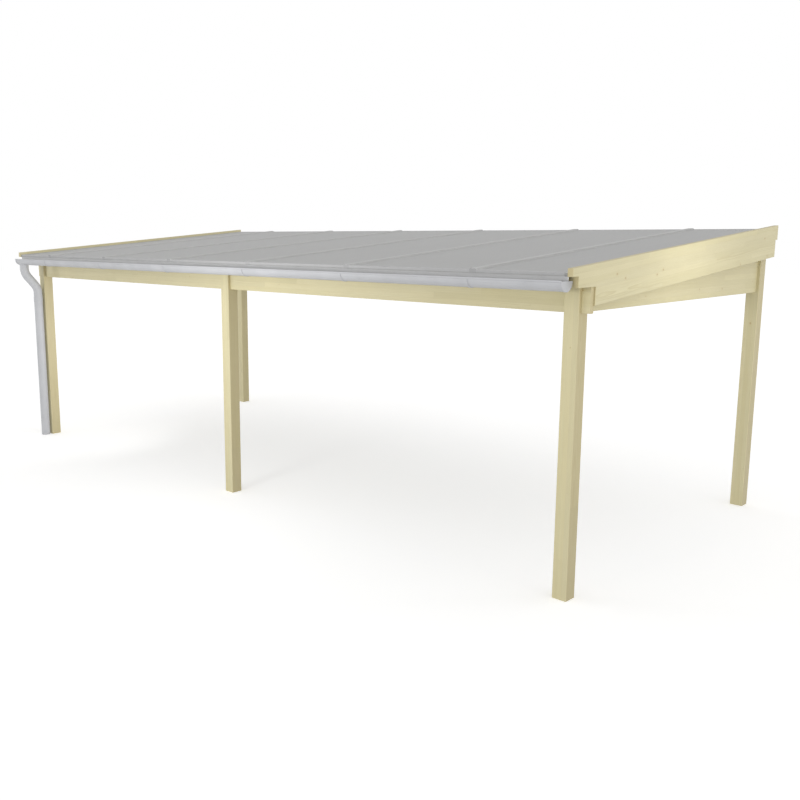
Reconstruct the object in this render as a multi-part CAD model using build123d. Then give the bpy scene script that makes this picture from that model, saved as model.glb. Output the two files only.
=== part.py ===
from build123d import *
from math import ceil, cos, radians, sin, tan
import os

# A free-standing lean-to veranda frame: X runs along the front, Y goes from the low front
# to the high back and Z is up, in millimetres. The origin is the centre of the foot of the
# middle front post, on the floor.

# Overall sizes
length_over_posts = 8020
depth_over_posts = 3420
clear_height = 2120
roof_pitch = 4.85

# Posts and beams
post_size = 120
post_arris = 4
beam_thickness = 45
beam_height = 185
beam_setback = 28
beam_arris = 3
slot_clearance = 0.5
rear_post_top_drop = 12

# Rafters
rafter_thickness = 45
side_rafter_thickness = 36
rafter_depth = 145
rafter_above_beam = 100
rafter_overhang = 158
rafter_pitch = 1303
rafter_arris = 3
notch_clearance = 0.5

# Side boards, carried by the side rafters and the ends of the beams
side_board_thickness = 45
side_board_depth = 290
side_board_upstand = 32
side_board_arris = 3
front_nose_reach = 74
front_nose_depth = 57
rear_nose_reach = 43
rear_nose_depth = 136
side_board_rear_inset = 22
beam_end_inset = 12

# Gable panels above the side beams
gable_clearance = 2

# Roof sheets and their bars
sheet_thickness = 16
sheet_overhang = 62
sheet_expansion_gap = 3
bar_width = 60
bar_base_height = 8
bar_web = 10
bar_cap_height = 12
bar_cap_bevel = 6
edge_profile_wall = 3
edge_profile_reach = 25
closing_wall = 2
closing_lip = 30
drip_wall = 2
drip_drop = 40
drip_setback = 4

# Gutter and downpipe
gutter_radius = 71
gutter_wall = 3
gutter_bead_radius = 7
gutter_rim_above_beam = 47
gutter_overrun = 36
end_cap_wall = 3
bracket_wall = 4
bracket_width = 25
bracket_plate_height = 70
bracket_plate_above_rim = 24
curved_clearance = 0.3
pipe_radius = 55
pipe_wall = 3
spigot_length = 40
neck_angle = 40
neck_bend_radius = 170
neck_top_straight = 45
neck_bottom_straight = 60
pipe_to_post = 11

# Levels and lines worked out from the sizes above
slope = radians(roof_pitch)
half_length = length_over_posts / 2
front_face = -post_size / 2
rear_face = front_face + depth_over_posts
beam_top = clear_height + beam_height
beam_front = front_face + beam_setback
beam_back = beam_front + beam_thickness
rear_beam_back = rear_face - beam_setback
rear_beam_front = rear_beam_back - beam_thickness
rafter_front = front_face - rafter_overhang
board_inner = half_length + side_rafter_thickness
board_outer = board_inner + side_board_thickness
sheet_bottom = bar_base_height
sheet_top = sheet_bottom + sheet_thickness


def rafter_top(y):
    """Height of the plane of the rafters' top edges."""
    return beam_top + rafter_above_beam + (y - beam_front) * tan(slope)


def above_rafters(y, distance):
    """Height of a plane that lies a square distance above the rafters' tops."""
    return rafter_top(y) + distance / cos(slope)


def up_slope(y, w=0):
    """Distance up the slope, from the front beam's face, of a point at depth y."""
    return (y - beam_front + w * sin(slope)) / cos(slope)


rear_beam_top = rafter_top(rear_beam_front)
rear_beam_bottom = rear_beam_top - beam_height
sheet_front = up_slope(rafter_front - sheet_overhang)
sheet_rear = up_slope(rear_face)
roof_normal = (0, -sin(slope), cos(slope))
roof = Plane(origin=(0, beam_front, rafter_top(beam_front)), x_dir=(1, 0, 0), z_dir=roof_normal)
outer_post_x = half_length - post_size / 2
post_centres = {"left": -outer_post_x, "middle": 0, "right": outer_post_x}
roof_bays = ceil(2 * board_inner / rafter_pitch)
rafter_xs = [(i - roof_bays / 2) * rafter_pitch for i in range(1, roof_bays)]


def side_profile(points, x_from, x_to, arris=0):
    """A solid with an outline in Y and Z, from one X to another, its long edges bevelled."""
    face = make_face(Polyline(*points, close=True))
    body = extrude(Plane.YZ.offset(x_from) * face, x_to - x_from)
    if not arris:
        return body
    ends = body.faces().filter_by(Axis.X).sort_by(Axis.X)
    return chamfer(ends[0].edges() + ends[-1].edges(), arris)


def along_roof(points, x, v_from, v_to):
    """A solid with an outline across the slope (X, square height) that runs up the slope."""
    face = make_face(Polyline(*points, close=True))
    start = roof.from_local_coords(Vector(x, v_to, 0))
    across = Plane(origin=start, x_dir=(1, 0, 0), z_dir=(0, -cos(slope), -sin(slope)))
    return extrude(across * face, v_to - v_from)


def across_roof(points, x_from, x_to):
    """A solid with an outline up the slope (distance, square height) that runs along X."""
    face = make_face(Polyline(*points, close=True))
    start = roof.from_local_coords(Vector(x_from, 0, 0))
    along = Plane(origin=start, x_dir=(0, cos(slope), sin(slope)), z_dir=(1, 0, 0))
    return extrude(along * face, x_to - x_from)


def box(x_from, x_to, y_from, y_to, z_from, z_to):
    """A block given by its limits."""
    size = (x_to - x_from, y_to - y_from, z_to - z_from)
    return Pos(x_from, y_from, z_from) * Box(*size, align=(Align.MIN, Align.MIN, Align.MIN))


# Posts, forked at the top to take the beam between a thin outer and a thick inner cheek
def post(x, y, top, slot_bottom, slot_from, slot_to):
    half = post_size / 2
    body = box(x - half, x + half, y - half, y + half, 0, top)
    body = chamfer(body.edges().filter_by(Axis.Z), post_arris)
    slot = box(
        x - post_size,
        x + post_size,
        slot_from - slot_clearance,
        slot_to + slot_clearance,
        slot_bottom,
        top + post_size,
    )
    return body - slot


def front_post(side):
    return post(post_centres[side], 0, beam_top, clear_height, beam_front, beam_back)


def rear_post(side):
    y = rear_face - post_size / 2
    top = rear_beam_top - rear_post_top_drop
    return post(post_centres[side], y, top, rear_beam_bottom, rear_beam_front, rear_beam_back)


# Beams: the front ones meet in the middle post's fork, the rear one spans the whole width
def beam(x_from, x_to, y_from, z_from):
    body = box(x_from, x_to, y_from, y_from + beam_thickness, z_from, z_from + beam_height)
    return chamfer(body.edges().filter_by(Axis.X), beam_arris)


def front_beam(side):
    end = board_outer - beam_end_inset
    ends = (-end, 0) if side == "left" else (0, end)
    return beam(*ends, beam_front, clear_height)


def rear_beam():
    return beam(-board_inner, board_inner, rear_beam_front, rear_beam_bottom)


# Side frame: a level beam between the posts with a tapered panel up to the roof
def inset_from(side):
    outer = half_length - beam_setback
    inner = outer - beam_thickness
    return (-outer, -inner) if side == "left" else (inner, outer)


side_from = front_face + post_size
side_to = rear_face - post_size


def side_beam(side):
    body = box(*inset_from(side), side_from, side_to, clear_height, beam_top)
    return chamfer(body.edges().filter_by(Axis.Y).group_by(Axis.Z)[0], beam_arris)


def gable_panel(side):
    outline = [
        (side_from, beam_top),
        (side_to, beam_top),
        (side_to, above_rafters(side_to, sheet_bottom - gable_clearance)),
        (side_from, above_rafters(side_from, sheet_bottom - gable_clearance)),
    ]
    return side_profile(outline, *inset_from(side))


# Side boards: notched over the end of the front beam, with a stepped nose at both ends
def side_board(side):
    def top(y):
        return above_rafters(y, sheet_top + side_board_upstand)

    def bottom(y):
        return above_rafters(y, sheet_top + side_board_upstand - side_board_depth)

    nose_front = rafter_front - front_nose_reach
    main_rear = rear_face - side_board_rear_inset
    nose_rear = main_rear + rear_nose_reach
    heel = beam_back + notch_clearance
    front_step = top(nose_front) - front_nose_depth
    rear_step = top(nose_rear) - rear_nose_depth
    outline = [
        (nose_front, top(nose_front)),
        (nose_front, front_step),
        (rafter_front, front_step),
        (rafter_front, beam_top),
        (heel, beam_top),
        (heel, bottom(heel)),
        (main_rear, bottom(main_rear)),
        (main_rear, rear_step),
        (nose_rear, rear_step),
        (nose_rear, top(nose_rear)),
    ]
    ends = (-board_outer, -board_inner) if side == "left" else (board_inner, board_outer)
    return side_profile(outline, *ends, arris=side_board_arris)


# Rafters: a tail cut level over the front beam, a heel behind it, butted against the rear beam
def rafter_between(x_from, x_to):
    def bottom(y):
        return above_rafters(y, -rafter_depth)

    heel = beam_back + notch_clearance
    outline = [
        (rafter_front, rafter_top(rafter_front)),
        (rafter_front, beam_top),
        (heel, beam_top),
        (heel, bottom(heel)),
        (rear_beam_front, bottom(rear_beam_front)),
        (rear_beam_front, rafter_top(rear_beam_front)),
    ]
    return side_profile(outline, x_from, x_to, arris=rafter_arris)


def rafter(x):
    return rafter_between(x - rafter_thickness / 2, x + rafter_thickness / 2)


def side_rafter(side):
    """Fills the space between the outer faces of the posts and the side board."""
    ends = (-board_inner, -half_length) if side == "left" else (half_length, board_inner)
    return rafter_between(*ends)


# Bars: a base on the rafter, a web between two sheets and a bevelled cap over them
def glazing_bar(x):
    half = bar_width / 2
    web = bar_web / 2
    cap_top = sheet_top + bar_cap_height
    shoulder = cap_top - bar_cap_bevel
    outline = [
        (-half, 0),
        (half, 0),
        (half, sheet_bottom),
        (web, sheet_bottom),
        (web, sheet_top),
        (half, sheet_top),
        (half, shoulder),
        (half - bar_cap_bevel, cap_top),
        (bar_cap_bevel - half, cap_top),
        (-half, shoulder),
        (-half, sheet_top),
        (-web, sheet_top),
        (-web, sheet_bottom),
        (-half, sheet_bottom),
    ]
    return along_roof(outline, x, sheet_front, sheet_rear)


# Edge profiles: channels on the inner faces of the side boards that hold the outer sheets
def edge_profile(side):
    sign = -1 if side == "left" else 1
    lip = edge_profile_reach
    wall = edge_profile_wall
    outline = [
        (0, sheet_bottom - wall),
        (-sign * lip, sheet_bottom - wall),
        (-sign * lip, sheet_bottom),
        (-sign * wall, sheet_bottom),
        (-sign * wall, sheet_top),
        (-sign * lip, sheet_top),
        (-sign * lip, sheet_top + wall),
        (0, sheet_top + wall),
    ]
    return along_roof(outline, sign * board_inner, sheet_front, sheet_rear)


# Sheets lie between the webs with room to expand
def sheet_spans():
    edge = board_inner - edge_profile_wall - sheet_expansion_gap
    gap = bar_web / 2 + sheet_expansion_gap
    lefts = [-edge] + [x + gap for x in rafter_xs]
    rights = [x - gap for x in rafter_xs] + [edge]
    return list(zip(lefts, rights))


def sheet_between(x_from, x_to):
    outline = [
        (sheet_front, sheet_bottom),
        (sheet_rear, sheet_bottom),
        (sheet_rear, sheet_top),
        (sheet_front, sheet_top),
    ]
    return across_roof(outline, x_from, x_to)


# Closing profiles: one channel over the end of each sheet, between the bars' caps
def closing_profile(x_from, x_to, v, direction):
    clear = bar_width / 2 - bar_web / 2 - sheet_expansion_gap
    low = sheet_bottom - closing_wall
    high = sheet_top + closing_wall
    outline = [
        (v - direction * closing_wall, low),
        (v + direction * closing_lip, low),
        (v + direction * closing_lip, sheet_bottom),
        (v, sheet_bottom),
        (v, sheet_top),
        (v + direction * closing_lip, sheet_top),
        (v + direction * closing_lip, high),
        (v - direction * closing_wall, high),
    ]
    return across_roof(outline, x_from + clear, x_to - clear)


def closing_profiles(v, direction):
    return Compound([closing_profile(a, b, v, direction) for a, b in sheet_spans()])


# Drip strip: hangs below the bars' bases in front of the rafters and leads into the gutter
def drip_strip():
    front = sheet_front + drip_setback
    back = up_slope(rafter_front, -drip_wall)
    outline = [
        (front, 0),
        (back, 0),
        (back, -drip_wall),
        (front + drip_wall, -drip_wall),
        (front + drip_wall, -drip_drop),
        (front, -drip_drop),
    ]
    return across_roof(outline, -board_inner + drip_setback, board_inner - drip_setback)


# Gutter: half round with a rolled front bead, and the outlet spigot under the left end
gutter_y = rafter_front - bracket_wall - curved_clearance - gutter_radius
gutter_z = beam_top + gutter_rim_above_beam
gutter_end = half_length + gutter_overrun
outlet_x = post_centres["left"]
spigot_radius = pipe_radius - pipe_wall - curved_clearance


def lower_half(outline):
    """The part of an outline that lies below its centre."""
    return outline - Pos(0, gutter_radius) * Rectangle(4 * gutter_radius, 2 * gutter_radius)


def gutter_bead(radius):
    return Pos(gutter_wall / 2 - gutter_radius, 0) * Circle(radius)


def along_gutter(outline, x_from, x_to):
    """A solid with an outline in Y and Z about the gutter's centre line."""
    start = Plane(origin=(x_from, gutter_y, gutter_z), x_dir=(0, 1, 0), z_dir=(1, 0, 0))
    return extrude(start * outline, x_to - x_from)


def upright_cylinder(radius, y, foot, height):
    """A cylinder that stands below the gutter's outlet or on the pipe's line."""
    low = (Align.CENTER, Align.CENTER, Align.MIN)
    return Pos(outlet_x, y, foot) * Cylinder(radius, height, align=low)


def gutter():
    inner = gutter_radius - gutter_wall
    ends = (-gutter_end + end_cap_wall, gutter_end - end_cap_wall)
    section = lower_half(Circle(gutter_radius) - Circle(inner)) + gutter_bead(gutter_bead_radius)
    trough = along_gutter(section, *ends)
    hollow = along_gutter(Circle(inner), *ends)
    foot = gutter_z - gutter_radius - spigot_length
    spigot = upright_cylinder(spigot_radius, gutter_y, foot, gutter_z - foot)
    bore = upright_cylinder(spigot_radius - pipe_wall, gutter_y, foot, gutter_z - foot)
    return trough + (spigot - hollow) - bore


def gutter_end_caps():
    section = lower_half(Circle(gutter_radius))
    left = along_gutter(section, -gutter_end, end_cap_wall - gutter_end)
    right = along_gutter(section, gutter_end - end_cap_wall, gutter_end)
    return Compound([left, right])


# Brackets: a strap under the gutter and a plate on the end of each rafter
def gutter_bracket(x):
    inner = gutter_radius + curved_clearance
    strap = lower_half(Circle(inner + bracket_wall) - Circle(inner))
    strap -= gutter_bead(gutter_bead_radius + curved_clearance)
    plate = Pos(inner + bracket_wall / 2, bracket_plate_above_rim - bracket_plate_height / 2)
    plate *= Rectangle(bracket_wall, bracket_plate_height)
    return along_gutter(strap + plate, x - bracket_width / 2, x + bracket_width / 2)


def gutter_brackets():
    return Compound([gutter_bracket(x) for x in rafter_xs])


# Swan neck: from the gutter's spigot back to the pipe in front of the left post, with a
# lining in its foot that goes on as a spigot into the pipe
neck_top = gutter_z - gutter_radius - curved_clearance
pipe_y = front_face - pipe_to_post - pipe_radius
neck_offset = pipe_y - gutter_y
neck_turn = radians(neck_angle)
neck_slant = (neck_offset - 2 * neck_bend_radius * (1 - cos(neck_turn))) / sin(neck_turn)
neck_tangent = neck_bend_radius * tan(neck_turn / 2)
knee_high = neck_top - neck_top_straight - neck_tangent
knee_low = knee_high - (neck_slant + 2 * neck_tangent) * cos(neck_turn)
pipe_top = knee_low - neck_tangent - neck_bottom_straight


def pipe_section():
    return Circle(pipe_radius) - Circle(pipe_radius - pipe_wall)


def downpipe_neck():
    corners = [
        (outlet_x, gutter_y, neck_top),
        (outlet_x, gutter_y, knee_high),
        (outlet_x, pipe_y, knee_low),
        (outlet_x, pipe_y, pipe_top),
    ]
    path = FilletPolyline(*corners, radius=neck_bend_radius)
    start = Plane(origin=corners[0], z_dir=(0, 0, -1))
    neck = sweep(start * pipe_section(), path=path)
    foot = pipe_top - spigot_length
    lining_height = neck_bottom_straight / 2
    spigot = upright_cylinder(spigot_radius, pipe_y, foot, spigot_length)
    lining = upright_cylinder(pipe_radius - pipe_wall / 2, pipe_y, pipe_top, lining_height)
    bore_height = spigot_length + lining_height
    bore = upright_cylinder(spigot_radius - pipe_wall, pipe_y, foot, bore_height)
    return neck + (spigot + lining - bore)


def downpipe():
    return extrude(Pos(outlet_x, pipe_y, 0) * pipe_section(), pipe_top)


# Each node gets its own file
nodes = {}
for side in ("left", "middle", "right"):
    nodes[f"post_front_{side}"] = front_post(side)
for side in ("left", "right"):
    nodes[f"post_rear_{side}"] = rear_post(side)
    nodes[f"front_beam_{side}"] = front_beam(side)
    nodes[f"side_beam_{side}"] = side_beam(side)
    nodes[f"gable_panel_{side}"] = gable_panel(side)
    nodes[f"side_board_{side}"] = side_board(side)
    nodes[f"side_rafter_{side}"] = side_rafter(side)
    nodes[f"edge_profile_{side}"] = edge_profile(side)
nodes["rear_beam"] = rear_beam()
for number, x in enumerate(rafter_xs, start=1):
    nodes[f"rafter_{number}"] = rafter(x)
    nodes[f"glazing_bar_{number}"] = glazing_bar(x)
for number, span in enumerate(sheet_spans(), start=1):
    nodes[f"roof_sheet_{number}"] = sheet_between(*span)
nodes["front_closing_profiles"] = closing_profiles(sheet_front, 1)
nodes["rear_closing_profiles"] = closing_profiles(sheet_rear, -1)
nodes["drip_strip"] = drip_strip()
nodes["gutter"] = gutter()
nodes["gutter_end_caps"] = gutter_end_caps()
nodes["gutter_brackets"] = gutter_brackets()
nodes["downpipe_neck"] = downpipe_neck()
nodes["downpipe"] = downpipe()

os.makedirs("parts", exist_ok=True)
for name, shape in nodes.items():
    export_step(shape, f"parts/{name}.step")
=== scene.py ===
import math

import bmesh
import bpy
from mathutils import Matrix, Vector


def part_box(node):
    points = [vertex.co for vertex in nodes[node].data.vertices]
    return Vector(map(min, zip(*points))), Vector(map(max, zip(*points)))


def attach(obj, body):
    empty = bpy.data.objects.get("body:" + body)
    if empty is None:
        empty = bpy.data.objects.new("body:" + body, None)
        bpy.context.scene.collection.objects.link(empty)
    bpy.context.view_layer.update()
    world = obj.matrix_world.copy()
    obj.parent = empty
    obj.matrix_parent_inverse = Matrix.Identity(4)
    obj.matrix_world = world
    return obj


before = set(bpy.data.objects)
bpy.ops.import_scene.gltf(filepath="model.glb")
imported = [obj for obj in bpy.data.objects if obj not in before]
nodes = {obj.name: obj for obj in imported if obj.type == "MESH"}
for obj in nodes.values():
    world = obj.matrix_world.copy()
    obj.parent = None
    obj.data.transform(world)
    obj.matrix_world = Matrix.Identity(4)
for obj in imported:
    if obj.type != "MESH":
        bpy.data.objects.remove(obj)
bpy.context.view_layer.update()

# Sizes in metres, angles in radians
roof_pitch = math.radians(4.85)
bar_half_width = 0.030
bar_cap_bevel = 0.006
bar_high = 0.036
sheet_low = 0.008
sheet_high = 0.024
closing_wall = 0.002
gasket_lip = 0.0035
seal_front = 0.003
seal_back = 0.012
seal_end_gap = 0.001
cover_thickness = 0.0018
cover_lift = 0.0005
gutter_rim_gap = 0.0004
gutter_rim_wall = 0.0022
gutter_rim_width = 0.014
collar_gap = 0.0003
collar_wall = 0.003
collar_height = 0.055
screw_head_radius = 0.0055
lamella_post = 0.040
lamella_beam = 0.185 / 4
lamella_board = 0.290 / 7
lamella_panel = 0.130
plank_board = 0.300
rafter_depth = 0.145

up = Vector((0, 0, 1))
rightward = Vector((1, 0, 0))
backward = Vector((0, 1, 0))
forward = Vector((0, -1, 0))
up_slope = Vector((0, math.cos(roof_pitch), math.sin(roof_pitch)))
off_slope = Vector((0, -math.sin(roof_pitch), math.cos(roof_pitch)))


# Camera: solved from the photo's three vanishing directions
def add_camera():
    photo_width = 800
    focal_length_px = 880.14
    principal_point_px = (342.78, 387.67)
    place = (7.1731, -5.5329, 2.6496)
    degrees_down = 9.766
    degrees_left = 45.04
    sensor_width = 36
    far_clip = 200
    camera = bpy.data.cameras.new("photo_camera")
    camera.sensor_width = sensor_width
    camera.lens = focal_length_px / photo_width * sensor_width
    camera.shift_x = (photo_width / 2 - principal_point_px[0]) / photo_width
    camera.shift_y = (principal_point_px[1] - photo_width / 2) / photo_width
    camera.clip_end = far_clip
    holder = bpy.data.objects.new("photo_camera", camera)
    holder.location = place
    holder.rotation_euler = (math.radians(90 - degrees_down), 0, math.radians(degrees_left))
    bpy.context.scene.collection.objects.link(holder)
    bpy.context.scene.camera = holder


# Shader nodes
class Graph:
    """A material and short ways to add and link its nodes."""

    def __init__(self, name):
        self.material = bpy.data.materials.new(name)
        self.material.use_nodes = True
        self.tree = self.material.node_tree
        self.shader = self.tree.nodes["Principled BSDF"]

    def add(self, kind, **settings):
        node = self.tree.nodes.new("ShaderNode" + kind)
        for key, value in settings.items():
            setattr(node, key, value)
        return node

    def put(self, value, socket):
        if isinstance(value, bpy.types.NodeSocket):
            self.tree.links.new(value, socket)
        else:
            socket.default_value = value

    def math(self, operation, *values):
        node = self.add("Math", operation=operation)
        for value, socket in zip(values, node.inputs):
            self.put(value, socket)
        return node.outputs[0]

    def sum(self, *values):
        total = values[0]
        for value in values[1:]:
            total = self.math("ADD", total, value)
        return total

    def times(self, a, b):
        return self.math("MULTIPLY", a, b)

    def swing(self, value, reach):
        """Turns 0 to 1 into half the reach below zero to half the reach above."""
        return self.times(self.math("SUBTRACT", value, 0.5), reach)

    def vector(self, operation, *values):
        node = self.add("VectorMath", operation=operation)
        for value, socket in zip(values, node.inputs):
            self.put(value, socket)
        scalar = operation in ("LENGTH", "DOT_PRODUCT", "DISTANCE")
        return node.outputs["Value" if scalar else "Vector"]

    def combine(self, x, y, z):
        node = self.add("CombineXYZ")
        for value, socket in zip((x, y, z), node.inputs):
            self.put(value, socket)
        return node.outputs[0]

    def drawn_out(self, length, height, depth, lengthwise, across):
        """A place for noise whose marks are drawn out along the length."""
        return self.combine(
            self.times(length, lengthwise),
            self.times(height, across),
            self.times(depth, across),
        )

    def split(self, vector):
        node = self.add("SeparateXYZ")
        self.put(vector, node.inputs[0])
        return node.outputs

    def span(self, value, low, high, to_low=0.0, to_high=1.0):
        """Maps low..high to to_low..to_high with a soft start and end."""
        node = self.add("MapRange", interpolation_type="SMOOTHSTEP")
        for socket, v in zip(node.inputs, (value, low, high, to_low, to_high)):
            self.put(v, socket)
        return node.outputs[0]

    def noise(self, vector, scale, detail=3.0, roughness=0.5):
        node = self.add("TexNoise")
        self.put(vector, node.inputs["Vector"])
        self.put(scale, node.inputs["Scale"])
        self.put(detail, node.inputs["Detail"])
        self.put(roughness, node.inputs["Roughness"])
        return node.outputs["Fac"]

    def random(self, x, y=0.0, z=0.0):
        """Three random values for a cell's numbers."""
        node = self.add("TexWhiteNoise", noise_dimensions="3D")
        self.put(self.combine(x, y, z), node.inputs["Vector"])
        return self.split(node.outputs["Color"])

    def mix(self, factor, a, b):
        node = self.add("Mix", data_type="RGBA", blend_type="MIX")
        factor_input, a_input, b_input, colour_output = 0, 6, 7, 2
        self.put(factor, node.inputs[factor_input])
        self.put(a, node.inputs[a_input])
        self.put(b, node.inputs[b_input])
        return node.outputs[colour_output]

    def shaded(self, colour, factor):
        """A colour made lighter or darker by a factor."""
        scaled = self.vector("SCALE", colour)
        self.put(factor, scaled.node.inputs["Scale"])
        return scaled

    def place(self):
        """The point's place in the row frame, in metres."""
        return self.add("TexCoord").outputs["Object"]

    def facing(self, direction):
        """1 where the surface faces along a direction or against it."""
        normal = self.add("TexCoord").outputs["Normal"]
        return self.math("ABSOLUTE", self.vector("DOT_PRODUCT", normal, direction))

    def bump(self, height, depth, strength):
        node = self.add("Bump")
        self.put(strength, node.inputs["Strength"])
        self.put(depth, node.inputs["Distance"])
        self.put(height, node.inputs["Height"])
        self.tree.links.new(node.outputs[0], self.shader.inputs["Normal"])

    def surface(self, colour, roughness, **constants):
        self.put(colour, self.shader.inputs["Base Color"])
        self.put(roughness, self.shader.inputs["Roughness"])
        for name, value in constants.items():
            self.shader.inputs[name.replace("_", " ")].default_value = value
        return self.material


def tone(red, green, blue):
    """A colour given as 0 to 255 display values."""
    straight_end = 0.04045
    straight_slope = 12.92
    curve_offset = 0.055
    curve_scale = 1.055
    curve_power = 2.4

    def linear(value):
        value = value / 255
        if value <= straight_end:
            return value / straight_slope
        return ((value + curve_offset) / curve_scale) ** curve_power

    return (linear(red), linear(green), linear(blue), 1.0)


def even_grey(value):
    return tone(value, value, value)


# Spruce glued from boards, as one solid texture that every cut face shows
def glued_boards(g, seed, length, height, depth, lamella):
    """Which board of the stack a point is in, and which piece of it between two finger joints."""
    joint_distance = 2.1
    joint_shift = 7.0
    joint_width = 0.0007
    finger_pitch = 0.0038
    finger_length = 0.011
    second_draw_shift = 0.5

    board = g.math("FLOOR", g.math("DIVIDE", height, lamella))
    board_height = g.math("SUBTRACT", height, g.times(g.math("ADD", board, 0.5), lamella))
    board_random = g.random(board, seed, 1.0)
    fingers = g.math("PINGPONG", g.math("ADD", height, depth), finger_pitch)
    fingers = g.times(fingers, finger_length / finger_pitch)
    stretch = g.math("DIVIDE", g.math("ADD", length, fingers), joint_distance)
    stretch = g.math("ADD", stretch, g.times(board_random[0], joint_shift))
    piece = g.math("FLOOR", stretch)
    joint_place = g.math("FRACT", stretch)
    joint_near = g.math("MINIMUM", joint_place, g.math("SUBTRACT", 1.0, joint_place))
    joint_line = g.span(joint_near, 0.0, joint_width / joint_distance, 1.0, 0.0)
    piece_random = g.random(piece, board, seed)
    more_random = g.random(piece, board, seed + second_draw_shift)
    return board, board_height, joint_line, piece_random, more_random


def knots(g, seed, board, board_height, length, lamella):
    """At most one knot in each step of a board; its share is 1 at the knot's edge."""
    step = 0.55
    step_margin = 0.25
    step_spread = 0.5
    widest_spread_board = 0.1
    height_spread = 0.6 * min(lamella, widest_spread_board)
    length_squeeze = 0.75
    chosen_from = 0.88
    smallest_radius = 0.0035
    largest_radius = 0.0085
    edge_from, edge_to = 0.75, 1.05
    pull_from, pull_to = 0.3, 3.6
    knot_draw_shift = 0.25

    cell = g.math("FLOOR", g.math("DIVIDE", length, step))
    draw = g.random(cell, board, seed + knot_draw_shift)
    knot_length = g.times(g.sum(cell, step_margin, g.times(draw[0], step_spread)), step)
    knot_height = g.swing(draw[1], height_spread)
    from_length = g.times(g.math("SUBTRACT", length, knot_length), length_squeeze)
    from_height = g.math("SUBTRACT", board_height, knot_height)
    from_knot = g.vector("LENGTH", g.combine(from_length, from_height, 0.0))
    chosen = g.math("GREATER_THAN", draw[2], chosen_from)
    radius = g.span(draw[2], chosen_from, 1.0, smallest_radius, largest_radius)
    share = g.math("DIVIDE", from_knot, radius)
    knot = g.times(g.span(share, edge_from, edge_to, 1.0, 0.0), chosen)
    pull = g.times(g.span(share, pull_from, pull_to, 1.0, 0.0), chosen)
    return knot, share, pull


def ring_radius(g, seed, piece_random, board_height, length, height, depth, knot_pull):
    """Distance from a pith that lies outside most boards and wanders along them."""
    pith_height_reach = 0.11
    pith_depth_reach = 0.075
    drift_rate = 0.55
    drift_reach = 0.065
    piece_shift = 40.0
    wave_rates = (3.2, 11.0)
    wave_reach = 0.006
    knot_reach = 0.006

    pith_height = g.span(piece_random[0], 0.0, 1.0, -pith_height_reach, pith_height_reach)
    pith_depth = g.span(piece_random[1], 0.0, 1.0, -pith_depth_reach, pith_depth_reach)
    drift_place = g.combine(
        g.times(length, drift_rate),
        g.times(piece_random[2], piece_shift),
        float(seed),
    )
    drift = g.swing(g.noise(drift_place, 1.0, detail=1.0), drift_reach)
    waves = g.noise(g.drawn_out(length, height, depth, *wave_rates), 1.0, detail=2.0)
    waves = g.swing(waves, wave_reach)
    across = g.sum(board_height, pith_height, drift)
    radius = g.vector("LENGTH", g.combine(across, g.math("ADD", depth, pith_depth), 0.0))
    return g.sum(radius, waves, g.times(knot_pull, knot_reach))


def late_wood_in(g, radius, more_random):
    """1 in the late wood of each growth ring, which comes slowly and ends sharply."""
    narrowest_ring = 0.0026
    widest_ring = 0.0048
    comes_from, comes_to = 0.35, 0.93
    ends_from, ends_to = 0.95, 1.0

    ring_width = g.span(more_random[0], 0.0, 1.0, narrowest_ring, widest_ring)
    ring = g.math("FRACT", g.math("DIVIDE", radius, ring_width))
    return g.times(g.span(ring, comes_from, comes_to), g.span(ring, ends_from, ends_to, 1.0, 0.0))


def clear_wood_colour(g, late, streak, fibre, cloud, piece_random, more_random):
    """The wood between its knots and joints."""
    late_share = 0.62
    streak_from, streak_to = 0.35, 0.75
    streak_share = 0.30
    fibre_from, fibre_to = 0.30, 0.75
    fibre_share = 0.22
    piece_change = 0.07
    cloud_change = 0.10

    early_wood = g.mix(piece_random[0], tone(223, 215, 179), tone(218, 210, 171))
    late_wood = g.mix(piece_random[1], tone(206, 194, 149), tone(200, 188, 143))
    colour = g.mix(g.times(late, late_share), early_wood, late_wood)
    streaks = g.span(streak, streak_from, streak_to, 0.0, streak_share)
    colour = g.mix(streaks, colour, tone(204, 193, 149))
    fibres = g.span(fibre, fibre_from, fibre_to, 0.0, fibre_share)
    colour = g.mix(fibres, colour, tone(193, 181, 135))
    shade = g.sum(1.0, g.swing(more_random[1], piece_change), g.swing(cloud, cloud_change))
    return g.shaded(colour, shade)


def with_knots(g, colour, knot, knot_share, knot_pull):
    """Adds the knots' own rings and the darker wood round them."""
    ring_step = 0.13
    ring_contrast = 5.0
    knot_strength = 0.65
    halo_strength = 0.28

    rings = g.math("PINGPONG", knot_share, ring_step)
    knot_colour = g.mix(g.times(rings, ring_contrast), tone(182, 157, 110), tone(163, 134, 90))
    colour = g.mix(g.times(knot, knot_strength), colour, knot_colour)
    return g.mix(g.times(knot_pull, halo_strength), colour, tone(204, 187, 138))


def glue_and_joint_lines(g, board_height, lamella, joint_line):
    """How dark the lines between boards and at finger joints are."""
    glue_width = 0.0006
    joint_strength = 0.55
    glue_strength = 0.40

    from_edge = g.math("SUBTRACT", lamella / 2, g.math("ABSOLUTE", board_height))
    glue_line = g.span(from_edge, 0.0, glue_width, 1.0, 0.0)
    return g.math("MAXIMUM", g.times(joint_line, joint_strength), g.times(glue_line, glue_strength))


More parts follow.
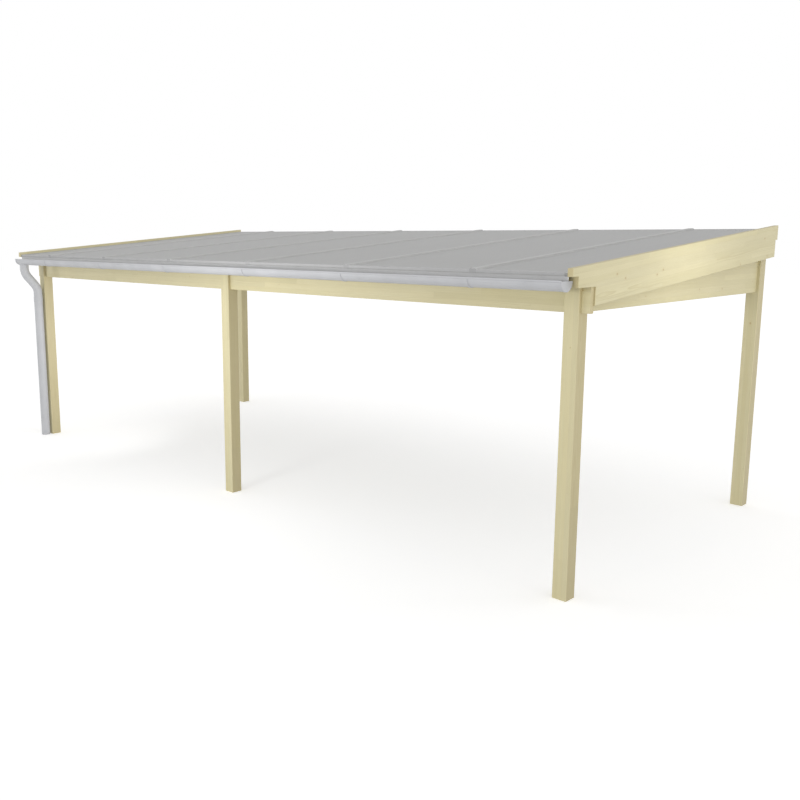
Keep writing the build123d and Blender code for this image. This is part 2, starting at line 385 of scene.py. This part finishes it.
def spruce(name, seed, corner, along, across, lamella):
    """Boards that run along one direction and are stacked across another, from a corner."""
    fibre_rates = (9.0, 520.0)
    fibre_roughness = 0.6
    streak_rates = (1.3, 46.0)
    cloud_rate = 2.3
    pore_rate = 900.0
    pores_from, pores_to = 0.4, 0.7
    least_end_tone, most_end_tone = 0.35, 0.75
    end_from, end_to = 0.75, 0.95
    plain_roughness = 0.43
    late_roughening = -0.05
    fibre_roughening = 0.10
    late_relief = 0.35
    fibre_relief = 0.65
    line_relief = -0.8
    knot_relief = 0.5
    pore_relief = 0.8
    relief_depth = 0.00025
    relief_strength = 0.55

    g = Graph(name)
    place = g.vector("SUBTRACT", g.place(), tuple(corner))
    length = g.vector("DOT_PRODUCT", place, tuple(along))
    height = g.vector("DOT_PRODUCT", place, tuple(across))
    depth = g.vector("DOT_PRODUCT", place, tuple(along.cross(across)))
    board, board_height, joint_line, piece_random, more_random = glued_boards(
        g, seed, length, height, depth, lamella
    )
    knot, knot_share, knot_pull = knots(g, seed, board, board_height, length, lamella)
    radius = ring_radius(g, seed, piece_random, board_height, length, height, depth, knot_pull)
    late = late_wood_in(g, radius, more_random)
    fibre_place = g.drawn_out(length, height, depth, *fibre_rates)
    fibre = g.noise(fibre_place, 1.0, detail=3.0, roughness=fibre_roughness)
    streak = g.noise(g.drawn_out(length, height, depth, *streak_rates), 1.0, detail=2.0)
    cloud = g.noise(place, cloud_rate, detail=2.0)
    colour = clear_wood_colour(g, late, streak, fibre, cloud, piece_random, more_random)
    colour = with_knots(g, colour, knot, knot_share, knot_pull)
    lines = glue_and_joint_lines(g, board_height, lamella, joint_line)
    colour = g.mix(lines, colour, tone(166, 149, 107))

    # Cut ends are darker and show pores
    end_grain = g.span(g.facing(tuple(along)), end_from, end_to)
    pore_place = g.combine(0.0, g.times(height, pore_rate), g.times(depth, pore_rate))
    pores = g.noise(pore_place, 1.0, detail=2.0)
    end_tone = g.span(pores, pores_from, pores_to, least_end_tone, most_end_tone)
    end_colour = g.mix(end_tone, colour, tone(188, 171, 126))
    colour = g.mix(end_grain, colour, end_colour)

    roughness = g.sum(
        plain_roughness,
        g.times(late, late_roughening),
        g.times(fibre, fibre_roughening),
    )
    relief = g.sum(
        g.times(late, late_relief),
        g.times(fibre, fibre_relief),
        g.times(lines, line_relief),
        g.times(knot, knot_relief),
        g.times(g.times(end_grain, pores), pore_relief),
    )
    g.bump(relief, relief_depth, relief_strength)
    return g.surface(colour, roughness, Specular_IOR_Level=0.32)


def opal_sheet():
    """Twin skins with webs between them that show through as soft stripes up the slope."""
    web_pitch = 0.020
    web_width = 0.0022
    web_strength = 0.42
    lane_seed = 3.0
    haze_rate = 1.1
    dust_rate = 60.0
    plain_shade = 0.965
    lane_change = 0.03
    haze_change = 0.07
    dust_change = 0.05
    haze_relief = 0.5
    dust_relief = 0.15
    relief_depth = 0.0004
    relief_strength = 0.5
    plain_roughness = 0.36
    dust_roughening = 0.14
    web_roughening = 0.05

    g = Graph("opal_sheet")
    place = g.place()
    x = g.split(place)[0]
    web = g.math("PINGPONG", x, web_pitch / 2)
    web_line = g.span(web, 0.0, web_width, 1.0, 0.0)
    lane = g.random(g.math("FLOOR", g.math("DIVIDE", x, web_pitch)), lane_seed)[0]
    haze = g.noise(place, haze_rate, detail=3.0)
    dust = g.noise(place, dust_rate, detail=4.0, roughness=0.6)
    colour = g.mix(g.times(web_line, web_strength), tone(166, 166, 165), tone(184, 184, 183))
    shade = g.sum(
        plain_shade,
        g.times(lane, lane_change),
        g.swing(haze, haze_change),
        g.swing(dust, dust_change),
    )
    colour = g.shaded(colour, shade)
    relief = g.sum(web_line, g.times(haze, haze_relief), g.times(dust, dust_relief))
    g.bump(relief, relief_depth, relief_strength)
    roughness = g.sum(
        plain_roughness,
        g.times(dust, dust_roughening),
        g.times(web_line, web_roughening),
    )
    return g.surface(colour, roughness, Specular_IOR_Level=0.25)


def aluminium(name, along, dark, light):
    """Extruded aluminium with die lines along its length."""
    line_rates = (2.0, 700.0)
    bloom_rate = 7.0
    line_share, bloom_share = 0.6, 0.4
    dark_up_to, light_from = 0.3, 0.7
    plain_roughness = 0.52
    line_roughening = 0.10
    bloom_roughening = 0.08
    relief_depth = 0.00008
    relief_strength = 0.5
    roughly_up = Vector((0, -0.2, 1)).normalized()

    g = Graph(name)
    place = g.place()
    length = g.vector("DOT_PRODUCT", place, tuple(along))
    side = g.vector("DOT_PRODUCT", place, tuple(along.cross(roughly_up)))
    height = g.split(place)[2]
    lines = g.noise(g.drawn_out(length, side, height, *line_rates), 1.0, detail=3.0)
    bloom = g.noise(place, bloom_rate, detail=3.0)
    blend = g.sum(g.times(lines, line_share), g.times(bloom, bloom_share))
    colour = g.mix(g.span(blend, dark_up_to, light_from), dark, light)
    roughness = g.sum(
        plain_roughness,
        g.times(lines, line_roughening),
        g.times(bloom, bloom_roughening),
    )
    g.bump(lines, relief_depth, relief_strength)
    return g.surface(colour, roughness, Metallic=0.2)


def grey_plastic():
    """Smooth extruded plastic with a faint mottle, fine dust and shallow draw lines."""
    mottle_rate = 5.0
    speck_rate = 420.0
    draw_rates = (1.5, 160.0)
    mottle_share = 0.55
    draw_share = 0.25
    speck_share = 0.20
    dark_up_to, light_from = 0.30, 0.70
    plain_roughness = 0.38
    mottle_roughening = 0.10
    speck_roughening = 0.06
    speck_relief = 0.4
    relief_depth = 0.00015
    relief_strength = 0.4

    g = Graph("grey_plastic")
    place = g.place()
    x, y, z = g.split(place)
    mottle = g.noise(place, mottle_rate, detail=3.0)
    speck = g.noise(place, speck_rate, detail=2.0)
    draw = g.noise(g.drawn_out(x, y, z, *draw_rates), 1.0, detail=2.0)
    blend = g.sum(
        g.times(mottle, mottle_share),
        g.times(draw, draw_share),
        g.times(speck, speck_share),
    )
    shade = g.span(blend, dark_up_to, light_from)
    colour = g.mix(shade, tone(186, 187, 190), tone(197, 198, 201))
    roughness = g.sum(
        plain_roughness,
        g.times(mottle, mottle_roughening),
        g.times(speck, speck_roughening),
    )
    g.bump(g.sum(draw, g.times(speck, speck_relief)), relief_depth, relief_strength)
    return g.surface(colour, roughness, Specular_IOR_Level=0.45)


def rubber(name, dark, light):
    """Matt sealing rubber or foam with fine pores."""
    pore_rate = 900.0
    cloud_rate = 14.0
    pore_share, cloud_share = 0.5, 0.5
    dark_up_to, light_from = 0.35, 0.65
    plain_roughness = 0.62
    cloud_roughening = 0.12
    relief_depth = 0.0002
    relief_strength = 0.5

    g = Graph(name)
    place = g.place()
    pores = g.noise(place, pore_rate, detail=2.0)
    cloud = g.noise(place, cloud_rate, detail=2.0)
    blend = g.sum(g.times(pores, pore_share), g.times(cloud, cloud_share))
    colour = g.mix(g.span(blend, dark_up_to, light_from), dark, light)
    g.bump(pores, relief_depth, relief_strength)
    roughness = g.sum(plain_roughness, g.times(cloud, cloud_roughening))
    return g.surface(colour, roughness, Specular_IOR_Level=0.3)


def zinc():
    """Zinc-plated steel for screw heads."""
    grain_rate = 2400.0
    cloud_rate = 160.0
    plain_roughness = 0.28
    grain_roughening = 0.15
    relief_depth = 0.00005
    relief_strength = 0.4

    g = Graph("zinc_steel")
    place = g.place()
    grain = g.noise(place, grain_rate, detail=2.0)
    cloud = g.noise(place, cloud_rate, detail=2.0)
    colour = g.mix(cloud, tone(176, 176, 172), tone(200, 199, 192))
    g.bump(grain, relief_depth, relief_strength)
    roughness = g.sum(plain_roughness, g.times(grain, grain_roughening))
    return g.surface(colour, roughness, Metallic=1.0)


# Dressing the CAD nodes
def clothe(node, material):
    node.data.materials.clear()
    node.data.materials.append(material)


def dress(prefixes, material):
    for name, node in nodes.items():
        if name.startswith(prefixes):
            clothe(node, material)


def timber_layout(name):
    """Grain direction, stacking direction and board height of a timber node."""
    if name.startswith("post_"):
        return up, rightward, lamella_post
    if name in ("front_beam_left", "front_beam_right", "rear_beam"):
        return rightward, up, lamella_beam
    if name.startswith("side_beam"):
        return backward, up, lamella_beam
    if name.startswith("gable_panel"):
        return backward, up, lamella_panel
    if name.startswith("side_board"):
        return up_slope, off_slope, lamella_board
    return up_slope, off_slope, plank_board


timber_prefixes = (
    "post_",
    "front_beam",
    "rear_beam",
    "side_beam",
    "gable_panel",
    "side_board",
    "side_rafter",
    "rafter_",
)


def grain_corner(name):
    """The point of a timber node from which its boards are counted."""
    low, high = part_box(name)
    if name.startswith("side_board"):
        return Vector(((low[0] + high[0]) / 2, high[1], high[2]))
    if name.startswith(("side_rafter", "rafter_")):
        top_edge = Vector(((low[0] + high[0]) / 2, high[1], high[2]))
        return top_edge - off_slope * (rafter_depth + plank_board) / 2
    if name.startswith("post_"):
        return Vector((low[0], (low[1] + high[1]) / 2, 0))
    if name.startswith(("side_beam", "gable_panel")):
        return Vector(((low[0] + high[0]) / 2, low[1], low[2]))
    return Vector((low[0], (low[1] + high[1]) / 2, low[2]))


def dress_timber():
    names = sorted(name for name in nodes if name.startswith(timber_prefixes))
    for seed, name in enumerate(names, start=1):
        layout = timber_layout(name)
        clothe(nodes[name], spruce("spruce_" + name, seed, grain_corner(name), *layout))


# Small pieces that the solids leave out
def add_piece(name, shape, material, smooth_below=None):
    """Makes a piece of a shape, shaded smooth where its faces meet below an angle."""
    mesh = bpy.data.meshes.new(name)
    bmesh.ops.recalc_face_normals(shape, faces=shape.faces)
    shape.to_mesh(mesh)
    shape.free()
    mesh.materials.append(material)
    if smooth_below:
        mesh.shade_smooth()
        mesh.set_sharp_from_angle(angle=smooth_below)
    piece = bpy.data.objects.new(name, mesh)
    bpy.context.scene.collection.objects.link(piece)
    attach(piece, "root")


def extrude_outline(shape, points, start, x_axis, y_axis, run):
    """Adds a closed prism: points in a plane at start, drawn out by the vector run."""
    ends = []
    for origin in (start, start + run):
        ends.append([shape.verts.new(origin + x_axis * x + y_axis * y) for x, y in points])
    shape.faces.new(ends[0])
    shape.faces.new(list(reversed(ends[1])))
    for i in range(len(points)):
        j = (i + 1) % len(points)
        shape.faces.new((ends[0][i], ends[1][i], ends[1][j], ends[0][j]))


rafter_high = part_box("rafter_1")[1]


def roof_point(x, y):
    """The point at x and y on the plane of the rafters' top edges."""
    z = rafter_high[2] + (y - rafter_high[1]) * math.tan(roof_pitch)
    return Vector((x, y, z))


bars = [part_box(f"glazing_bar_{number}") for number in range(1, 7)]
bar_xs = [(low[0] + high[0]) / 2 for low, high in bars]
sheets = [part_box(f"roof_sheet_{number}") for number in range(1, 8)]


def along_bars(points, shape, x):
    """Adds a strip as long as the sheets, its points given across and above the rafters' tops."""
    low, high = sheets[0]
    front = low[1] + sheet_high * math.sin(roof_pitch)
    rear = high[1] + sheet_low * math.sin(roof_pitch)
    run = up_slope * ((rear - front) / math.cos(roof_pitch))
    extrude_outline(shape, points, roof_point(x, front), rightward, off_slope, run)


def add_gaskets(material):
    """Rubber lips beside the bars, on top of the sheets and under them."""
    lip_curve = ((0.0, 0.0), (1.0, 0.0), (0.9, 0.35), (0.5, 0.75), (0.0, 1.0))
    shape = bmesh.new()
    for x in bar_xs:
        for side in (-1, 1):
            edge = bar_half_width * side
            upper = [
                (edge + side * gasket_lip * out, sheet_high + gasket_lip * rise)
                for out, rise in lip_curve
            ]
            lower = [(px, sheet_low + sheet_high - pz) for px, pz in upper]
            along_bars(upper, shape, x)
            along_bars(lower, shape, x)
    add_piece("bar_gaskets", shape, material)


def add_bar_covers(material):
    """A thin plate on the front end of each bar."""
    shape = bmesh.new()
    half = bar_half_width
    outline = [
        (-half, cover_lift),
        (half, cover_lift),
        (half, bar_high - bar_cap_bevel),
        (half - bar_cap_bevel, bar_high),
        (bar_cap_bevel - half, bar_high),
        (-half, bar_high - bar_cap_bevel),
    ]
    for bar, x in zip(bars, bar_xs):
        low = bar[0]
        front = roof_point(x, low[1] + bar_high * math.sin(roof_pitch))
        extrude_outline(shape, outline, front, rightward, off_slope, up_slope * -cover_thickness)
    add_piece("bar_end_covers", shape, material)


def add_eaves_seals(material):
    """Foam under the front closing profiles, between the bars."""
    shape = bmesh.new()
    top = sheet_low - closing_wall
    outline = [(seal_front, 0.0), (seal_back, 0.0), (seal_back, top), (seal_front, top)]
    edges = [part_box("edge_profile_left")[1][0]] + bar_xs + [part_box("edge_profile_right")[0][0]]
    front = bars[0][0][1] + bar_high * math.sin(roof_pitch)
    for number, (x_from, x_to) in enumerate(zip(edges[:-1], edges[1:])):
        x_from += seal_end_gap if number == 0 else bar_half_width
        x_to -= seal_end_gap if number == len(edges) - 2 else bar_half_width
        start = roof_point(x_from, front)
        extrude_outline(shape, outline, start, up_slope, off_slope, rightward * (x_to - x_from))
    add_piece("eaves_seals", shape, material)


cap_low, cap_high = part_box("gutter_end_caps")
gutter_radius = (cap_high[1] - cap_low[1]) / 2
gutter_centre = Vector((0, (cap_high[1] + cap_low[1]) / 2, cap_high[2]))
round_smooth_below = math.radians(35)


def add_gutter_rims(material):
    """A raised lip round each end cap, where it grips the gutter, from the bead to the back."""
    steps = 28
    bead_angle = math.radians(14)
    shape = bmesh.new()
    inner = gutter_radius + gutter_rim_gap
    outer = inner + gutter_rim_wall
    angles = [bead_angle + (math.pi - bead_angle) * i / steps for i in range(steps + 1)]
    arc = [(-math.cos(a) * outer, -math.sin(a) * outer) for a in angles]
    arc += [(-math.cos(a) * inner, -math.sin(a) * inner) for a in reversed(angles)]
    for outer_x, inward in ((cap_low[0], 1), (cap_high[0], -1)):
        start = Vector((outer_x, gutter_centre.y, gutter_centre.z))
        run = rightward * inward * gutter_rim_width
        extrude_outline(shape, arc, start, backward, up, run)
    add_piece("gutter_cap_rims", shape, material, round_smooth_below)


def add_pipe_collar(material):
    """The widened top of the downpipe that takes the neck."""
    steps = 48
    foot_taper = 0.006
    bead_rise = 0.0008
    bead_half_height = 0.003
    bead_foot_half_height = 0.004
    low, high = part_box("downpipe")
    centre = Vector(((low[0] + high[0]) / 2, (low[1] + high[1]) / 2, high[2]))
    radius = (high[0] - low[0]) / 2
    outer = radius + collar_wall
    profile = [
        (radius + collar_gap, -collar_height - foot_taper),
        (outer, -collar_height),
        (outer, -bead_foot_half_height),
        (outer + bead_rise, -bead_half_height),
        (outer + bead_rise, bead_half_height),
        (outer, bead_foot_half_height),
        (radius + collar_gap, bead_foot_half_height),
    ]
    shape = bmesh.new()
    rings = []
    for i in range(steps):
        angle = 2 * math.pi * i / steps
        out = Vector((math.cos(angle), math.sin(angle), 0))
        rings.append([shape.verts.new(centre + out * r + up * z) for r, z in profile])
    for i, ring in enumerate(rings):
        after = rings[(i + 1) % steps]
        for a in range(len(profile)):
            b = (a + 1) % len(profile)
            shape.faces.new((ring[a], after[a], after[b], ring[b]))
    add_piece("downpipe_collar", shape, material, round_smooth_below)


def add_screw(shape, place, facing, turn):
    """A low screw head with a star recess, that stands a little out of its seat."""
    steps = 24
    crown_share = 0.86
    star_lip_shares = (0.50, 0.44)
    star_floor_shares = (0.46, 0.40)
    skirt_share = 0.98
    rim_lift = 0.0004
    crown_lift = 0.0009
    star_floor_lift = 0.0003
    skirt_lift = -0.0004
    side = facing.orthogonal().normalized()
    other = facing.cross(side)

    def ring(shares, lift):
        verts = []
        for i in range(steps):
            angle = 2 * math.pi * i / steps + turn
            r = screw_head_radius * shares[i % len(shares)]
            around = side * math.cos(angle) + other * math.sin(angle)
            verts.append(shape.verts.new(place + around * r + facing * lift))
        return verts

    rim = ring((1.0,), rim_lift)
    crown = ring((crown_share,), crown_lift)
    lip = ring(star_lip_shares, crown_lift)
    floor = ring(star_floor_shares, star_floor_lift)
    skirt = ring((skirt_share,), skirt_lift)
    for low, high in ((skirt, rim), (rim, crown), (crown, lip), (lip, floor)):
        for i in range(steps):
            j = (i + 1) % steps
            shape.faces.new((low[i], low[j], high[j], high[i]))
    shape.faces.new(floor)
    shape.faces.new(list(reversed(skirt)))


def add_screws(material):
    """Screws through the inner cheek of each fork, and two in each gutter bracket."""
    turn_step = 0.7
    fork_spread_x = 0.026
    fork_spread_z = 0.052
    bracket_spread = 0.006
    above_rim = 0.013
    bracket_gap = 0.0003
    smooth_below = math.radians(30)
    shape = bmesh.new()
    turn = 0.0
    for name, beam in (
        ("post_front_left", "front_beam_left"),
        ("post_front_middle", "front_beam_left"),
        ("post_front_right", "front_beam_right"),
        ("post_rear_left", "rear_beam"),
        ("post_rear_right", "rear_beam"),
    ):
        low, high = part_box(name)
        beam_low, beam_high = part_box(beam)
        middle = (beam_low[2] + beam_high[2]) / 2
        facing = backward if "front" in name else forward
        y = high[1] if "front" in name else low[1]
        x = (low[0] + high[0]) / 2
        for sign in (-1, 1):
            turn += turn_step
            place = Vector((x + sign * fork_spread_x, y, middle + sign * fork_spread_z))
            add_screw(shape, place, facing, turn)
    bracket_front = gutter_centre.y + gutter_radius + bracket_gap
    for x in bar_xs:
        for sign in (-1, 1):
            turn += turn_step
            z = gutter_centre.z + above_rim + sign * bracket_spread
            place = Vector((x + sign * bracket_spread, bracket_front, z))
            add_screw(shape, place, forward, turn)
    add_piece("screws", shape, material, smooth_below)


# Stage: a pale floor, a white surround and soft lamps
def seen_directly(tree):
    """1 for the rays that show a surface to the eye, straight or in gloss or glass."""
    path = tree.nodes.new("ShaderNodeLightPath")
    total = path.outputs["Is Camera Ray"]
    for name in ("Is Glossy Ray", "Is Transmission Ray"):
        either = tree.nodes.new("ShaderNodeMath")
        either.operation = "MAXIMUM"
        tree.links.new(total, either.inputs[0])
        tree.links.new(path.outputs[name], either.inputs[1])
        total = either.outputs[0]
    return total


def add_stage():
    """A floor that glows a little, but only to the eye."""
    floor_width = 120
    floor_grey = 0.90
    floor_roughness = 0.9
    floor_glow = 0.42
    bpy.ops.mesh.primitive_plane_add(size=floor_width)
    floor = bpy.context.object
    floor.name = "floor"
    g = Graph("floor")
    g.surface((floor_grey, floor_grey, floor_grey, 1), floor_roughness, Specular_IOR_Level=0.0)
    glow = g.add("Emission")
    g.put(g.times(seen_directly(g.tree), floor_glow), glow.inputs["Strength"])
    both = g.add("AddShader")
    g.put(g.shader.outputs[0], both.inputs[0])
    g.put(glow.outputs[0], both.inputs[1])
    g.put(both.outputs[0], g.tree.nodes["Material Output"].inputs["Surface"])
    floor.data.materials.append(g.material)


def add_world():
    """A white surround that lights the part less than it shows to the eye."""
    strength_as_light = 0.70
    strength_to_the_eye = 1.0
    world = bpy.data.worlds.new("studio")
    world.use_nodes = True
    tree = world.node_tree
    background = tree.nodes["Background"]
    background.inputs["Color"].default_value = (1, 1, 1, 1)
    strength = tree.nodes.new("ShaderNodeMapRange")
    tree.links.new(seen_directly(tree), strength.inputs["Value"])
    strength.inputs["To Min"].default_value = strength_as_light
    strength.inputs["To Max"].default_value = strength_to_the_eye
    tree.links.new(strength.outputs[0], background.inputs["Strength"])
    bpy.context.scene.world = world


def add_far_lamp(name, azimuth, power, in_gloss=True):
    """A soft far lamp just above the horizon; azimuth 0 shines from the back, 90 from the right."""
    degrees_high = 1.5
    degrees_wide = 8
    lamp = bpy.data.lights.new(name, "SUN")
    lamp.energy = power
    lamp.angle = math.radians(degrees_wide)
    holder = bpy.data.objects.new(name, lamp)
    holder.rotation_euler = (math.radians(90 - degrees_high), 0, math.radians(180 - azimuth))
    holder.visible_glossy = in_gloss
    bpy.context.scene.collection.objects.link(holder)


def add_near_lamp(name, place, target, size, power, spread=180):
    """A round softbox; a grid on it keeps its light within the spread."""
    lamp = bpy.data.lights.new(name, "AREA")
    lamp.shape = "DISK"
    lamp.size = size
    lamp.spread = math.radians(spread)
    lamp.energy = power
    holder = bpy.data.objects.new(name, lamp)
    holder.location = place
    holder.rotation_euler = (Vector(target) - Vector(place)).to_track_quat("-Z", "Y").to_euler()
    holder.visible_camera = False
    bpy.context.scene.collection.objects.link(holder)


def add_lamps():
    add_far_lamp("front_lamp", azimuth=188, power=0.62, in_gloss=False)
    add_far_lamp("left_lamp", azimuth=233, power=0.22)
    add_far_lamp("right_lamp", azimuth=96, power=0.68)
    add_far_lamp("rear_lamp", azimuth=350, power=0.45)
    add_near_lamp(
        "front_softbox", place=(0.5, -2.1, 1.88), target=(0.5, 0, 2.0), size=0.6, power=13.5
    )
    add_near_lamp(
        "right_softbox", place=(5.1, 1.45, 2.5), target=(4.1, 1.45, 2.5), size=0.6, power=3.6
    )
    add_near_lamp(
        "left_softbox",
        place=(-1.3, 0.8, 1.25),
        target=(-3.95, 0, 1.15),
        size=0.8,
        power=7.5,
        spread=100,
    )


add_camera()
add_world()
add_stage()
add_lamps()

dress_timber()
dress(("roof_sheet",), opal_sheet())
bar_aluminium = aluminium("bar_aluminium", up_slope, tone(182, 182, 181), tone(194, 194, 193))
dress(("glazing_bar", "edge_profile"), bar_aluminium)
strip_aluminium = aluminium("strip_aluminium", rightward, even_grey(177), even_grey(189))
dress(("front_closing", "rear_closing"), strip_aluminium)
# Painted light: the drip strip gets a lighter aluminium than the closing strips, to make up for the
# shade it sits in behind the gutter.
drip_aluminium_painted_light = aluminium("drip_aluminium_painted_light", rightward, even_grey(194), even_grey(206))
dress(("drip_strip",), drip_aluminium_painted_light)
# Painted shade: the bar end covers get a darker aluminium than the strips, because their front
# faces catch the front lamps.
cover_aluminium_painted_shade = aluminium("cover_aluminium_painted_shade", rightward, even_grey(167), even_grey(177))
plastic = grey_plastic()
dress(("gutter", "downpipe"), plastic)
# Painted light: the gaskets are a pale grey rubber so that the shade in the corner beside each bar
# does not read as a dark line.
add_gaskets(rubber("gasket_rubber_painted_light", tone(198, 198, 196), tone(210, 210, 208)))
add_bar_covers(cover_aluminium_painted_shade)
add_eaves_seals(rubber("seal_foam", tone(176, 176, 174), tone(190, 190, 188)))
add_gutter_rims(plastic)
add_pipe_collar(plastic)
add_screws(zinc())

bpy.context.scene.view_settings.view_transform = "Standard"
